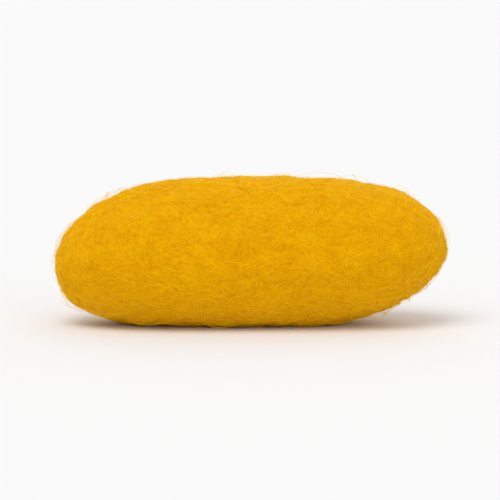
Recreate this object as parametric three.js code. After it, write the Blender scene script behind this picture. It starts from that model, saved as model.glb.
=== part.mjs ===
// A yellow silk cocoon, lying on its side on the narrow spot where its shell is pressed flat.
// Millimetres, +Z up. The long axis runs along X: the end at -X droops a little, and the slightly slimmer
// end at +X lifts. The origin is the middle of the cocoon's footprint, on the surface that it rests on.

import * as THREE from "three";

// The spun body.
const LENGTH = 34;
const BODY_HEIGHT = 13.4; // before the resting spot is pressed flat
const BODY_WIDTH = 13.5;
const BELLY_SHARE = 0.46; // of the length, from the drooping tip to the widest girth
const FLAT_DEPTH = 0.4; // how far the resting spot is pressed in

// Each end is half a superellipse with a round tip. A larger bulge keeps the girth full for longer.
const DROOPING_BULGE = 3.0;
const LIFTED_BULGE = 3.3;

// How far the spine is below the middle of the belly at one tip, and above it at the other.
const TIP_DROOP = 1.15;
const TIP_LIFT = 0.9;
const SIDE_BOW = 0.3; // towards +Y in the middle

// Broad flats left by the corner that the cocoon was spun in: `count` sides round the girth, turned by
// `turn` radians and twisting by `twist` radians from the belly to the tip.
const FLATS = [
  { count: 2, share: 0.012, turn: 0.4, twist: 0.5 },
  { count: 3, share: 0.013, turn: 1.9, twist: -0.9 },
  { count: 5, share: 0.007, turn: 0.3, twist: 1.6 },
];

// Shallow dents pressed into the thin wall. `x` is from the belly, and `angle` is in degrees round the
// girth, from +Y (the back) through +Z (the top) to -Y (the front).
const DENTS = [
  { x: -9.5, angle: 128, long: 4.2, wide: 2.6, deep: 0.34 },
  { x: 5.5, angle: 205, long: 5.0, wide: 2.4, deep: 0.3 },
  { x: 11.5, angle: 112, long: 3.2, wide: 2.6, deep: 0.34 },
  { x: -1.5, angle: 168, long: 4.4, wide: 2.0, deep: 0.16 },
  { x: -7.0, angle: 236, long: 3.6, wide: 2.4, deep: 0.26 },
  { x: -4.0, angle: 48, long: 5.2, wide: 3.0, deep: 0.38 },
  { x: 8.5, angle: 15, long: 4.0, wide: 2.8, deep: 0.36 },
  { x: -11.0, angle: -10, long: 3.0, wide: 2.6, deep: 0.3 },
];

// Puckers: the low, irregular swells of silk that dried and shrank. `along` and `round` are how many
// waves fit in the length and in the girth, and `lean` shifts the waves along as they go round.
const PUCKERS = [
  { along: 4, round: 5, lean: 0.0, high: 0.05 },
  { along: 7, round: -4, lean: 1.3, high: 0.04 },
  { along: 5, round: 8, lean: 2.1, high: 0.03 },
  { along: 10, round: 3, lean: 0.7, high: 0.025 },
];

// Facets: points round the girth, and rings along the length. CROWDING draws the rings towards the belly.
const AROUND = 72;
const RINGS = 64;
const CROWDING = 0.15;

const DROOPING_REACH = LENGTH * BELLY_SHARE;
const LIFTED_REACH = LENGTH - DROOPING_REACH;

// The girth at station u, from -1 at the drooping tip through 0 at the belly to 1, as a share of the belly.
function girthShare(u) {
  const bulge = u < 0 ? DROOPING_BULGE : LIFTED_BULGE;
  return Math.sqrt(Math.max(0, 1 - Math.abs(u) ** bulge));
}

// The middle of the cross-section at station u.
function spine(u) {
  const x = u * (u < 0 ? DROOPING_REACH : LIFTED_REACH);
  const z = u * u * (u < 0 ? -TIP_DROOP : TIP_LIFT);
  return new THREE.Vector3(x, SIDE_BOW * (1 - u * u), z);
}

function flats(u, angle) {
  return FLATS.reduce((sum, f) => sum + f.share * Math.cos(f.count * angle + f.turn + f.twist * u), 0);
}

function dents(x, angle) {
  const radius = (BODY_WIDTH + BODY_HEIGHT) / 4;
  return DENTS.reduce((sum, d) => {
    const off = angle - THREE.MathUtils.degToRad(d.angle);
    const round = radius * Math.atan2(Math.sin(off), Math.cos(off));
    return sum + d.deep * Math.exp(-(((x - d.x) / d.long) ** 2) - (round / d.wide) ** 2);
  }, 0);
}

function puckers(u, angle) {
  return PUCKERS.reduce((sum, p) => {
    const sway = Math.sin(p.lean + 2 * angle) + Math.sin(p.lean + 3 * u);
    const along = Math.sin(Math.PI * p.along * u + p.lean + sway);
    return sum + p.high * along * Math.sin(p.round * angle + sway);
  }, 0);
}

// How much of the relief is left: none at the tips, or right below, where the silk dried against what the
// cocoon lay on.
function reliefShare(share, angle) {
  const below = Math.max(0, -Math.sin(angle)) ** 4;
  return Math.min(1, 1.6 * share) * share * (1 - below);
}

// The surface point at station u and `angle` radians round the girth.
function surfacePoint(u, angle) {
  const centre = spine(u);
  const share = girthShare(u);
  const relief = (puckers(u, angle) - dents(centre.x, angle)) * reliefShare(share, angle);
  const girth = share * (1 + flats(u, angle));
  centre.y += (girth * BODY_WIDTH / 2 + relief) * Math.cos(angle);
  centre.z += (girth * BODY_HEIGHT / 2 + relief) * Math.sin(angle);
  return centre;
}

// A sphere with its poles at the two tips, drawn out into the cocoon.
function spunBody() {
  const body = new THREE.SphereGeometry(1, AROUND, RINGS).rotateZ(-Math.PI / 2);
  const points = body.getAttribute("position");
  for (let i = 0; i < points.count; i++) {
    const fromTip = Math.acos(THREE.MathUtils.clamp(-points.getX(i), -1, 1));
    const u = -Math.cos(fromTip + (CROWDING / 2) * Math.sin(2 * fromTip));
    const p = surfacePoint(u, Math.atan2(points.getZ(i), points.getY(i)));
    points.setXYZ(i, p.x, p.y, p.z);
  }
  return body;
}

// Presses the lowest part of the body flat, and sets it down on z = 0 with its footprint centred.
function setDown(body) {
  body.computeBoundingBox();
  const rest = body.boundingBox.min.z + FLAT_DEPTH;
  const points = body.getAttribute("position");
  for (let i = 0; i < points.count; i++) {
    points.setZ(i, Math.max(0, points.getZ(i) - rest));
  }
  body.computeBoundingBox();
  const middle = body.boundingBox.getCenter(new THREE.Vector3());
  body.translate(-middle.x, -middle.y, 0);
  body.computeVertexNormals();
  return body;
}

const silk = new THREE.MeshStandardMaterial({ color: 0xe2a20a, roughness: 0.75, metalness: 0 });

const cocoon = new THREE.Mesh(setDown(spunBody()), silk);
cocoon.name = "cocoon";

const part = new THREE.Group();
part.add(cocoon);

export default part;
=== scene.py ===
"""The looks of a yellow silk cocoon that lies on its side on a pale floor.

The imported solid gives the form. On it lie a finely crinkled shell, the crossing figure-of-eight threads
of the outer layers, a short fuzz, and the loose floss that stands off them. Lengths are millimetres
until a mesh is made, which is in metres. The materials, the lights and the camera are in metres too.
"""

import math

import bpy
import numpy as np
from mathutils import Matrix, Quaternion, Vector
from mathutils.bvhtree import BVHTree


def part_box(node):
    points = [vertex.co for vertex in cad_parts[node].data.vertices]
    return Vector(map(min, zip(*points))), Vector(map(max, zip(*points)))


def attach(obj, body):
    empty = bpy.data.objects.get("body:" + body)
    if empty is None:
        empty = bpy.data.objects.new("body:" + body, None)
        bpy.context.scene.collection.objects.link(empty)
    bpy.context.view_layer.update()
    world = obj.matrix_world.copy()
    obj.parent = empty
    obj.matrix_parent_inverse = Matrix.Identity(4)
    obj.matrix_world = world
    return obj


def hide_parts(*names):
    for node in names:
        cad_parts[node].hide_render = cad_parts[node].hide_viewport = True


MM = 0.001  # metres
TURN = 2 * math.pi
SEED = 20

# The shell's grid: rings from the tip at -X to the one at +X, and points round each ring.
RINGS = 264
AROUND = 360
GUIDE_POINTS = 4001  # for measuring along the side of the guide ellipsoid
FACET_BLUR = 0.7  # takes the solid's facets out of the form
BLUR_REACH = 3  # how many of its widths a blur reaches
SWELL_BLURS = 3  # how many of its blur's widths a random swell is across
LEAST_RADIUS = 1e-6  # stands in for nought at the tips, where it is divided by

# The crinkles of the shell: how wide they are, and how high they swell.
LUMP_WIDTH, LUMP_HIGH = 1.6, 0.05
CREPE_WIDTH, CREPE_HIGH = 0.62, 0.05
FELT_WIDTH, FELT_HIGH = 0.17, 0.007
WIDE_CREPE = 0.5  # the share of the creases that are twice as wide
RELIEF_SINK = 0.08  # how far all of them are let into the form

# Threads. Two numbers in brackets are the least and the most of what each thread draws for itself.
SIDES = 3  # of a thread
THREAD_STEP, FLOSS_STEP = 0.4, 0.27  # from each section of a thread to the next
LOOP_TURN = 2.405  # radians either side of its course: a sine of this swing closes a figure of eight
SWING_SHARE = (0.72, 0.96)  # of that turn, so that a thread moves on as it loops
BEAT, BEAT_LOOPS = 0.5, 2.7  # what makes the loops uneven: its radians, and how many loops long it is
WANDER = 0.05  # radians that the course strays in one millimetre, and twice that in four
LENGTH_SHARE, LOOP_SHARE, WIDTH_SHARE = (0.6, 1.4), (0.7, 1.4), (0.7, 1.3)
CELL_ASPECT = 20  # how many times as wide as high a thread's cell of the map is

# Threads laid in the felt.
THREAD_SINK = 0.012  # how deep the base is in the felt
CREST_SHARE = (0.5, 1.5)  # of a thread's height
RIPPLE, RIPPLE_TURN = 0.35, (0.2, 0.6)  # how much the crest rises and falls, and its radians a step

# Loose threads.
FLOSS_LOOP = (25, 70)
ARC_LONG = (4, 9)  # how long a thread's arcs off the felt are
LIFT_SHARE = (0.15, 1.0)  # the square root of the share of the greatest lift
FREE_ENDS = 0.35  # the share of threads with an end that stands off
CROWDING = 6  # how tightly the starts at a tip crowd round it
UNDERSIDE = 0.12  # lower than this the cocoon presses on the floor, and no loose thread has room
FLOOR_ROOM = 0.8  # the share of the way down to the floor that a thread may hang
LEAST_SLOPE = 0.001  # keeps that way from being endless where the skin faces up
TRIANGLE_HIGH = 0.87  # the height of a triangle with equal sides, as a share of a side

rng = np.random.default_rng(SEED)


# --- The form -------------------------------------------------------------------------------------


class Form:
    """The cocoon's surface as a grid of distances from its axis, in millimetres.

    Row 0 is the tip at -X and the last row the one at +X. Each row leans as the normals of a guide
    ellipsoid do, so that the rows close over the tips without a seam.
    """

    def __init__(self, node):
        low, high = (np.array(corner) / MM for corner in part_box(node))
        half = (high - low) / 2
        self.middle = (high + low) / 2
        self.long, self.short = half[0], (half[1] + half[2]) / 2
        self.polar, self.step = self.even_rings()
        self.radii = np.maximum(self.short * np.sin(self.polar), LEAST_RADIUS)
        self.origins, self.ways = self.rays()
        self.reach = self.soften(self.measured(node), FACET_BLUR)

    def even_rings(self):
        """The guide's angles for rings that are evenly spaced along its side, and their spacing."""
        fine = np.linspace(0, math.pi, GUIDE_POINTS)
        speed = np.hypot(self.long * np.sin(fine), self.short * np.cos(fine))
        run = np.concatenate([[0], np.cumsum((speed[1:] + speed[:-1]) / 2 * np.diff(fine))])
        return np.interp(np.linspace(0, run[-1], RINGS + 1), run, fine), run[-1] / RINGS

    def rays(self):
        """Where on the axis each point's ray starts, and its direction."""
        polar, turn = np.meshgrid(self.polar, np.arange(AROUND) * TURN / AROUND, indexing="ij")
        ways = np.stack([
            -np.cos(polar) / self.long,
            np.sin(polar) * np.cos(turn) / self.short,
            np.sin(polar) * np.sin(turn) / self.short,
        ], -1)
        ways /= np.linalg.norm(ways, axis=-1, keepdims=True)
        origins = np.zeros_like(ways) + self.middle
        origins[..., 0] -= np.cos(polar) * (self.long - self.short**2 / self.long)
        return origins, ways

    def measured(self, node):
        """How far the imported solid's surface is along each ray."""
        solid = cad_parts[node].data
        corners = [v.co / MM for v in solid.vertices]
        tree = BVHTree.FromPolygons(corners, [p.vertices[:] for p in solid.polygons])
        pairs = zip(self.origins.reshape(-1, 3), self.ways.reshape(-1, 3))
        hits = (tree.ray_cast(Vector(origin), Vector(way)) for origin, way in pairs)
        return np.array([distance for _, _, _, distance in hits]).reshape(RINGS + 1, AROUND)

    def soften(self, field, width):
        """The field blurred by a Gaussian of that width on the surface, over the tips too."""
        waves = np.fft.rfft(field, axis=1)
        tightness = np.arange(waves.shape[1])[None, :] * width / self.radii[:, None]
        field = np.fft.irfft(waves * np.exp(-0.5 * tightness**2), AROUND, axis=1)
        span = math.ceil(BLUR_REACH * width / self.step)
        weights = np.exp(-0.5 * (np.arange(-span, span + 1) * self.step / width) ** 2)
        weights /= weights.sum()
        past_start = np.roll(field[span:0:-1], AROUND // 2, axis=1)
        past_end = np.roll(field[-2:-span - 2:-1], AROUND // 2, axis=1)
        padded = np.concatenate([past_start, field, past_end])
        return sum(weight * padded[k:k + len(field)] for k, weight in enumerate(weights))

    def noise(self, width):
        """Random swells about `width` across, with a spread of 1 over the middle half."""
        white = rng.standard_normal(self.ways.shape[:2]) / np.sqrt(self.radii)[:, None]
        white[[0, -1]] = 0.0  # a tip is one point, and the rows next to it give it its height
        swells = self.soften(white, width / SWELL_BLURS)
        return swells / swells[RINGS // 4:-RINGS // 4].std()

    def points(self, proud):
        """The surface's points, standing `proud` of the form, and none below the floor."""
        found = self.origins + self.ways * (self.reach + proud)[..., None]
        found[..., 2] = np.maximum(found[..., 2], 0.0)
        return found


# --- Meshes ---------------------------------------------------------------------------------------


def make_mesh(name, points, faces, uv, material, smooth):
    """A mesh piece of the cocoon from points in millimetres, with one UV pair for each corner."""
    mesh = bpy.data.meshes.new(name)
    mesh.from_pydata((np.asarray(points) * MM).tolist(), [], [list(f) for f in faces])
    layer = mesh.uv_layers.new(name="OFBake")
    layer.data.foreach_set("uv", np.asarray(uv, np.float32).ravel())
    mesh.polygons.foreach_set("use_smooth", [smooth] * len(mesh.polygons))
    mesh.materials.append(material)
    piece = bpy.data.objects.new(name, mesh)
    bpy.context.scene.collection.objects.link(piece)
    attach(piece, "root")
    return piece


def shell_faces():
    """The grid's quads and its two fans, by vertex number, with their UVs.

    j and k are neighbours round a ring, and a and b are where two neighbouring rings start.
    """
    tip = (RINGS - 1) * AROUND  # the vertex at -X, and the one at +X is the next
    faces, uv = [], []
    for j in range(AROUND):
        k = (j + 1) % AROUND
        left, right = j / AROUND, (j + 1) / AROUND
        faces.append((tip, k, j))
        uv.extend([((left + right) / 2, 0), (right, 1 / RINGS), (left, 1 / RINGS)])
        for i in range(RINGS - 2):
            a, b = i * AROUND, (i + 1) * AROUND
            low, high = (i + 1) / RINGS, (i + 2) / RINGS
            faces.append((a + j, a + k, b + k, b + j))
            uv.extend([(left, low), (right, low), (right, high), (left, high)])
        a = (RINGS - 2) * AROUND
        faces.append((tip + 1, a + j, a + k))
        uv.extend([((left + right) / 2, 1), (left, 1 - 1 / RINGS), (right, 1 - 1 / RINGS)])
    return faces, uv


def crinkles(form):
    """The relief of the dried silk: soft lumps, crepe creases between them, and a fine felt."""
    lumps = form.noise(LUMP_WIDTH)
    creases = 1 - np.abs(form.noise(CREPE_WIDTH) + WIDE_CREPE * form.noise(2 * CREPE_WIDTH))
    felt = form.noise(FELT_WIDTH)
    return LUMP_HIGH * lumps + CREPE_HIGH * creases + FELT_HIGH * felt - RELIEF_SINK


def make_shell(form, material):
    """The crinkled shell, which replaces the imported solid. Returns a search tree of its skin."""
    grid = form.points(crinkles(form))
    points = np.concatenate([grid[1:-1].reshape(-1, 3), grid[0, :1], grid[-1, :1]])
    faces, uv = shell_faces()
    shell = make_mesh("cocoon_shell", points, faces, uv, material, True)
    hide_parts("cocoon")
    return BVHTree.FromPolygons([Vector(p) for p in points], faces)


# --- Threads --------------------------------------------------------------------------------------


def loop_headings(length, loop, step):
    """How far a thread's direction is turned from its course at each step, in radians."""
    run = np.arange(0, length, step)
    swing = LOOP_TURN * rng.uniform(*SWING_SHARE)
    phase = rng.uniform(0, TURN)
    wander = np.cumsum(rng.normal(0, WANDER, len(run))) * math.sqrt(step)
    uneven = BEAT * np.sin(TURN * run / (loop * BEAT_LOOPS) + rng.uniform(0, TURN))
    return swing * np.sin(TURN * run / loop + phase + uneven) + wander


def laid_path(skin, start, course, headings, step):
    """Walks over the skin from start, and returns the places passed and the skin's normals there."""
    here, normal, _, _ = skin.find_nearest(Vector(start))
    course = Vector(course)
    places, normals = [], []
    for heading in headings:
        course = (course - normal * course.dot(normal)).normalized()
        onward = Quaternion(normal, heading) @ course
        here, normal, _, _ = skin.find_nearest(here + onward * step)
        places.append(here)
        normals.append(normal)
    return np.array(places), np.array(normals)


def random_starts(form, count, tip_share):
    """Places spread over the form, with `tip_share` of them crowded at its tips, and a course for each."""
    spread = form.radii / form.radii.sum()
    tips = spread * np.abs(np.cos(form.polar)) ** CROWDING
    weights = np.repeat((1 - tip_share) * spread + tip_share * tips / tips.sum(), AROUND)
    picked = rng.choice(weights.size, count, p=weights / weights.sum())
    return form.points(0.0).reshape(-1, 3)[picked], rng.standard_normal((count, 3))


def strand(places, normals, width, base, crown):
    """The sections of a thread with a flat base and a crown, each at its own height off the skin."""
    across = np.cross(normals, np.gradient(places, axis=0))
    across *= width / 2 / np.linalg.norm(across, axis=1, keepdims=True)
    foot = places + normals * base[:, None]
    return np.stack([foot + across, places + normals * crown[:, None], foot - across], 1)


def strand_quads(count):
    """The section and the side that each quad of a strand with `count` sections starts from."""
    return (axis.ravel() for axis in np.meshgrid(np.arange(count - 1), np.arange(SIDES), indexing="ij"))


def strand_faces(first, count):
    """A strand's quads and its two ends, where its first vertex is number `first`."""
    section, side = strand_quads(count)
    here, beside = first + SIDES * section + side, first + SIDES * section + (side + 1) % SIDES
    quads = np.stack([here, beside, beside + SIDES, here + SIDES], 1).tolist()
    last = first + SIDES * (count - 1)
    return quads + [(first, first + 2, first + 1), (last, last + 1, last + 2)]


def strand_uv(count, column, row, columns, rows):
    """The UVs of a strand's faces, in its own cell of the map."""
    section, side = strand_quads(count)
    near, far = (column + section / count) / columns, (column + (section + 1) / count) / columns
    low, high = (row + side / SIDES) / rows, (row + (side + 1) / SIDES) / rows
    quads = np.stack([near, low, near, high, far, high, far, low], 1).reshape(-1, 2)
    ends = np.tile([[column / columns, row / rows]], (2 * SIDES, 1))
    return np.concatenate([quads, ends])


def make_strands(name, strands, material):
    """One mesh of many strands, with a cell of the map for each."""
    columns = max(1, round(math.sqrt(len(strands) / CELL_ASPECT)))
    rows = math.ceil(len(strands) / columns)
    faces, uv, first = [], [], 0
    for number, sections in enumerate(strands):
        column, row = divmod(number, rows)
        faces.extend(strand_faces(first, len(sections)))
        uv.append(strand_uv(len(sections), column, row, columns, rows))
        first += SIDES * len(sections)
    points = np.concatenate(strands).reshape(-1, 3)
    points[:, 2] = np.maximum(points[:, 2], 0.0)
    make_mesh(name, points, faces, np.concatenate(uv), material, False)


def make_threads(name, form, skin, material, total, length, loop, width, high):
    """Figure-of-eight threads that lie in the felt, `total` millimetres of them in one piece."""
    strands = []
    for start, course in zip(*random_starts(form, round(total / length), 0.0)):
        own_length = length * rng.uniform(*LENGTH_SHARE)
        own_loop = loop * rng.uniform(*LOOP_SHARE)
        headings = loop_headings(own_length, own_loop, THREAD_STEP)
        places, normals = laid_path(skin, start, course, headings, THREAD_STEP)
        ripples = np.sin(np.arange(len(places)) * rng.uniform(*RIPPLE_TURN) + rng.uniform(0, TURN))
        crown = high * (1 - RIPPLE + RIPPLE * ripples) * rng.uniform(*CREST_SHARE)
        base = np.full(len(places), -THREAD_SINK)
        strands.append(strand(places, normals, width * rng.uniform(*WIDTH_SHARE), base, crown))
    make_strands(name, strands, material)


def room_below(places, normals):
    """How far along its normal a thread may leave each place before it is too near the floor."""
    return FLOOR_ROOM * places[:, 2] / np.maximum(-normals[:, 2], LEAST_SLOPE)


def make_floss(name, form, skin, material, count, lengths, width, highest, tip_share):
    """Loose threads that leave the felt in low arcs, and that stay off the floor."""
    strands = []
    for start, course in zip(*random_starts(form, count, tip_share)):
        length = rng.uniform(*lengths)
        headings = loop_headings(length, rng.uniform(*FLOSS_LOOP), FLOSS_STEP)
        places, normals = laid_path(skin, start, course, headings, FLOSS_STEP)
        if places[:, 2].min() < UNDERSIDE:
            continue
        arcs = max(1, round(length / rng.uniform(*ARC_LONG))) - 0.5 * (rng.random() < FREE_ENDS)
        rise = np.sin(math.pi * arcs * np.linspace(0, 1, len(places))) ** 2
        lift = highest * rng.uniform(*LIFT_SHARE) ** 2 * rise
        lift = np.minimum(lift, room_below(places, normals))
        own_width = width * rng.uniform(*WIDTH_SHARE)
        strands.append(strand(places, normals, own_width, lift, lift + TRIANGLE_HIGH * own_width))
    make_strands(name, strands, material)


# --- Materials ------------------------------------------------------------------------------------

# Colours are linear red, green and blue.
SILK = {
    "Roughness": 0.6,
    "Specular IOR Level": 0.25,
    "Specular Tint": (1.0, 0.66, 0.03, 1),
    "Sheen Weight": 0.15,
    "Sheen Roughness": 0.4,
    "Sheen Tint": (1.0, 0.62, 0.01, 1),
    "Subsurface Radius": (1.0, 0.45, 0.06),
    "Subsurface Scale": 0.7 * MM,
}
PAPER = {"Base Color": (0.86, 0.86, 0.86, 1), "Roughness": 0.9, "Specular IOR Level": 0.2}
DEEP_BELOW, BRIGHT_ABOVE = 0.34, 0.66  # the mottle's noise where the silk is all deep, and all bright
GRAIN = 9 / MM  # cells of the fibre grain to the metre
GRAIN_HIGH = 0.03 * MM


def set_inputs(node, settings):
    """Sets a shader node's inputs by their names."""
    for name, value in settings.items():
        node.inputs[name].default_value = value


def new_material(name, finish):
    """A material whose shader has the finish's settings."""
    material = bpy.data.materials.new(name)
    material.use_nodes = True
    set_inputs(material.node_tree.nodes["Principled BSDF"], finish)
    return material


def silk_material(name, deep, bright, mottle_scale, fibre_bump, glow):
    """Matte spun silk, from a deep to a bright yellow, with a fine fibre grain and some light inside it."""
    material = new_material(name, SILK | {"Subsurface Weight": glow})
    nodes, links = material.node_tree.nodes, material.node_tree.links
    shader = nodes["Principled BSDF"]
    place = nodes.new("ShaderNodeTexCoord")

    mottle = nodes.new("ShaderNodeTexNoise")
    set_inputs(mottle, {"Scale": mottle_scale, "Detail": 5.0, "Roughness": 0.62})
    links.new(place.outputs["Object"], mottle.inputs["Vector"])
    ramp = nodes.new("ShaderNodeValToRGB")
    stops = ((DEEP_BELOW, deep), (BRIGHT_ABOVE, bright))
    for element, (position, colour) in zip(ramp.color_ramp.elements, stops):
        element.position = position
        element.color = (*colour, 1)
    links.new(mottle.outputs["Fac"], ramp.inputs["Fac"])
    links.new(ramp.outputs["Color"], shader.inputs["Base Color"])

    grain = nodes.new("ShaderNodeTexNoise")
    set_inputs(grain, {"Scale": GRAIN, "Detail": 3.0})
    links.new(place.outputs["Object"], grain.inputs["Vector"])
    bump = nodes.new("ShaderNodeBump")
    set_inputs(bump, {"Strength": fibre_bump, "Distance": GRAIN_HIGH})
    links.new(grain.outputs["Fac"], bump.inputs["Height"])
    links.new(bump.outputs["Normal"], shader.inputs["Normal"])
    return material


# --- The studio -----------------------------------------------------------------------------------

CAMERA_AWAY = 0.7
CAMERA_UP = math.radians(8)
FRAME_WIDE = 0.0435  # what the camera sees across, at the cocoon
SENSOR = 36.0
NEAREST_SEEN = 0.05
FLOOR_HALF = 3.0


def make_floor():
    """The plain pale floor, which isn't part of the cocoon."""
    mesh = bpy.data.meshes.new("floor")
    h = FLOOR_HALF
    mesh.from_pydata([(-h, -h, 0), (h, -h, 0), (h, h, 0), (-h, h, 0)], [], [(0, 1, 2, 3)])
    mesh.materials.append(new_material("floor_paper", PAPER))
    floor = bpy.data.objects.new("floor", mesh)
    bpy.context.scene.collection.objects.link(floor)


def make_sun(name, strength, spread, azimuth, height):
    """A sun `spread` degrees across, `azimuth` degrees round from the front, and `height` degrees up."""
    light = bpy.data.lights.new(name, "SUN")
    light.energy = strength
    light.angle = math.radians(spread)
    lamp = bpy.data.objects.new(name, light)
    a, e = math.radians(azimuth), math.radians(height)
    source = Vector((math.sin(a) * math.cos(e), -math.cos(a) * math.cos(e), math.sin(e)))
    lamp.rotation_euler = source.to_track_quat("Z", "Y").to_euler()
    bpy.context.scene.collection.objects.link(lamp)


def make_world(strength):
    """An even white light from all round."""
    world = bpy.data.worlds.new("studio")
    world.use_nodes = True
    set_inputs(world.node_tree.nodes["Background"], {"Color": (1, 1, 1, 1), "Strength": strength})
    bpy.context.scene.world = world


def make_camera(target):
    """A long lens in front of the target, looking a little down on it."""
    data = bpy.data.cameras.new("camera")
    data.sensor_width = SENSOR
    data.lens = SENSOR * CAMERA_AWAY / FRAME_WIDE
    data.clip_start = NEAREST_SEEN
    camera = bpy.data.objects.new("camera", data)
    offset = Vector((0, -math.cos(CAMERA_UP), math.sin(CAMERA_UP))) * CAMERA_AWAY
    camera.location = target + offset
    camera.rotation_euler = offset.to_track_quat("Z", "Y").to_euler()
    bpy.context.scene.collection.objects.link(camera)
    bpy.context.scene.camera = camera


# --- The scene ------------------------------------------------------------------------------------

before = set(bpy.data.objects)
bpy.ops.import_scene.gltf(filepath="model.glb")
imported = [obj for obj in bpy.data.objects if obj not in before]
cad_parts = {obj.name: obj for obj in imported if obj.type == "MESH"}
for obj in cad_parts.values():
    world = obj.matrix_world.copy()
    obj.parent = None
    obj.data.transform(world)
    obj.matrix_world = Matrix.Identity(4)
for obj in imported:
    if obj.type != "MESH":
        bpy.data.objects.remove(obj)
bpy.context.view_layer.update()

low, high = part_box("cocoon")
make_camera((low + high) / 2)

shell_silk = silk_material(
    "shell_silk", deep=(0.76, 0.35, 0.0005), bright=(0.82, 0.393, 0.001),
    mottle_scale=0.3 / MM, fibre_bump=0.5, glow=0.35)
under_silk = silk_material(
    "under_silk", deep=(0.77, 0.392, 0.0005), bright=(0.83, 0.434, 0.001),
    mottle_scale=0.42 / MM, fibre_bump=0.2, glow=0.0)
over_silk = silk_material(
    "over_silk", deep=(0.82, 0.438, 0.0005), bright=(0.87, 0.488, 0.0015),
    mottle_scale=0.42 / MM, fibre_bump=0.2, glow=0.0)
floss_silk = silk_material(
    "floss_silk", deep=(0.86, 0.5, 0.002), bright=(0.92, 0.58, 0.006),
    mottle_scale=0.42 / MM, fibre_bump=0.0, glow=0.0)

form = Form("cocoon")
skin = make_shell(form, shell_silk)
make_threads(
    "threads_under", form, skin, under_silk, total=12500, length=110, loop=36, width=0.055, high=0.024)
make_threads(
    "threads_over", form, skin, over_silk, total=9000, length=90, loop=44, width=0.08, high=0.042)
make_floss(
    "fuzz", form, skin, floss_silk, count=4300, lengths=(0.8, 2.2), width=0.018, highest=0.2, tip_share=0.1)
make_floss(
    "floss", form, skin, floss_silk, count=240, lengths=(5, 22), width=0.024, highest=0.65, tip_share=0.35)

make_floor()
make_sun("key", strength=1.25, spread=40, azimuth=-30, height=62)
make_sun("fill", strength=0.3, spread=70, azimuth=50, height=20)
make_sun("front", strength=0.45, spread=90, azimuth=0, height=5)
make_sun("back", strength=0.6, spread=90, azimuth=165, height=15)
make_world(0.63)

bpy.context.scene.view_settings.view_transform = "Standard"
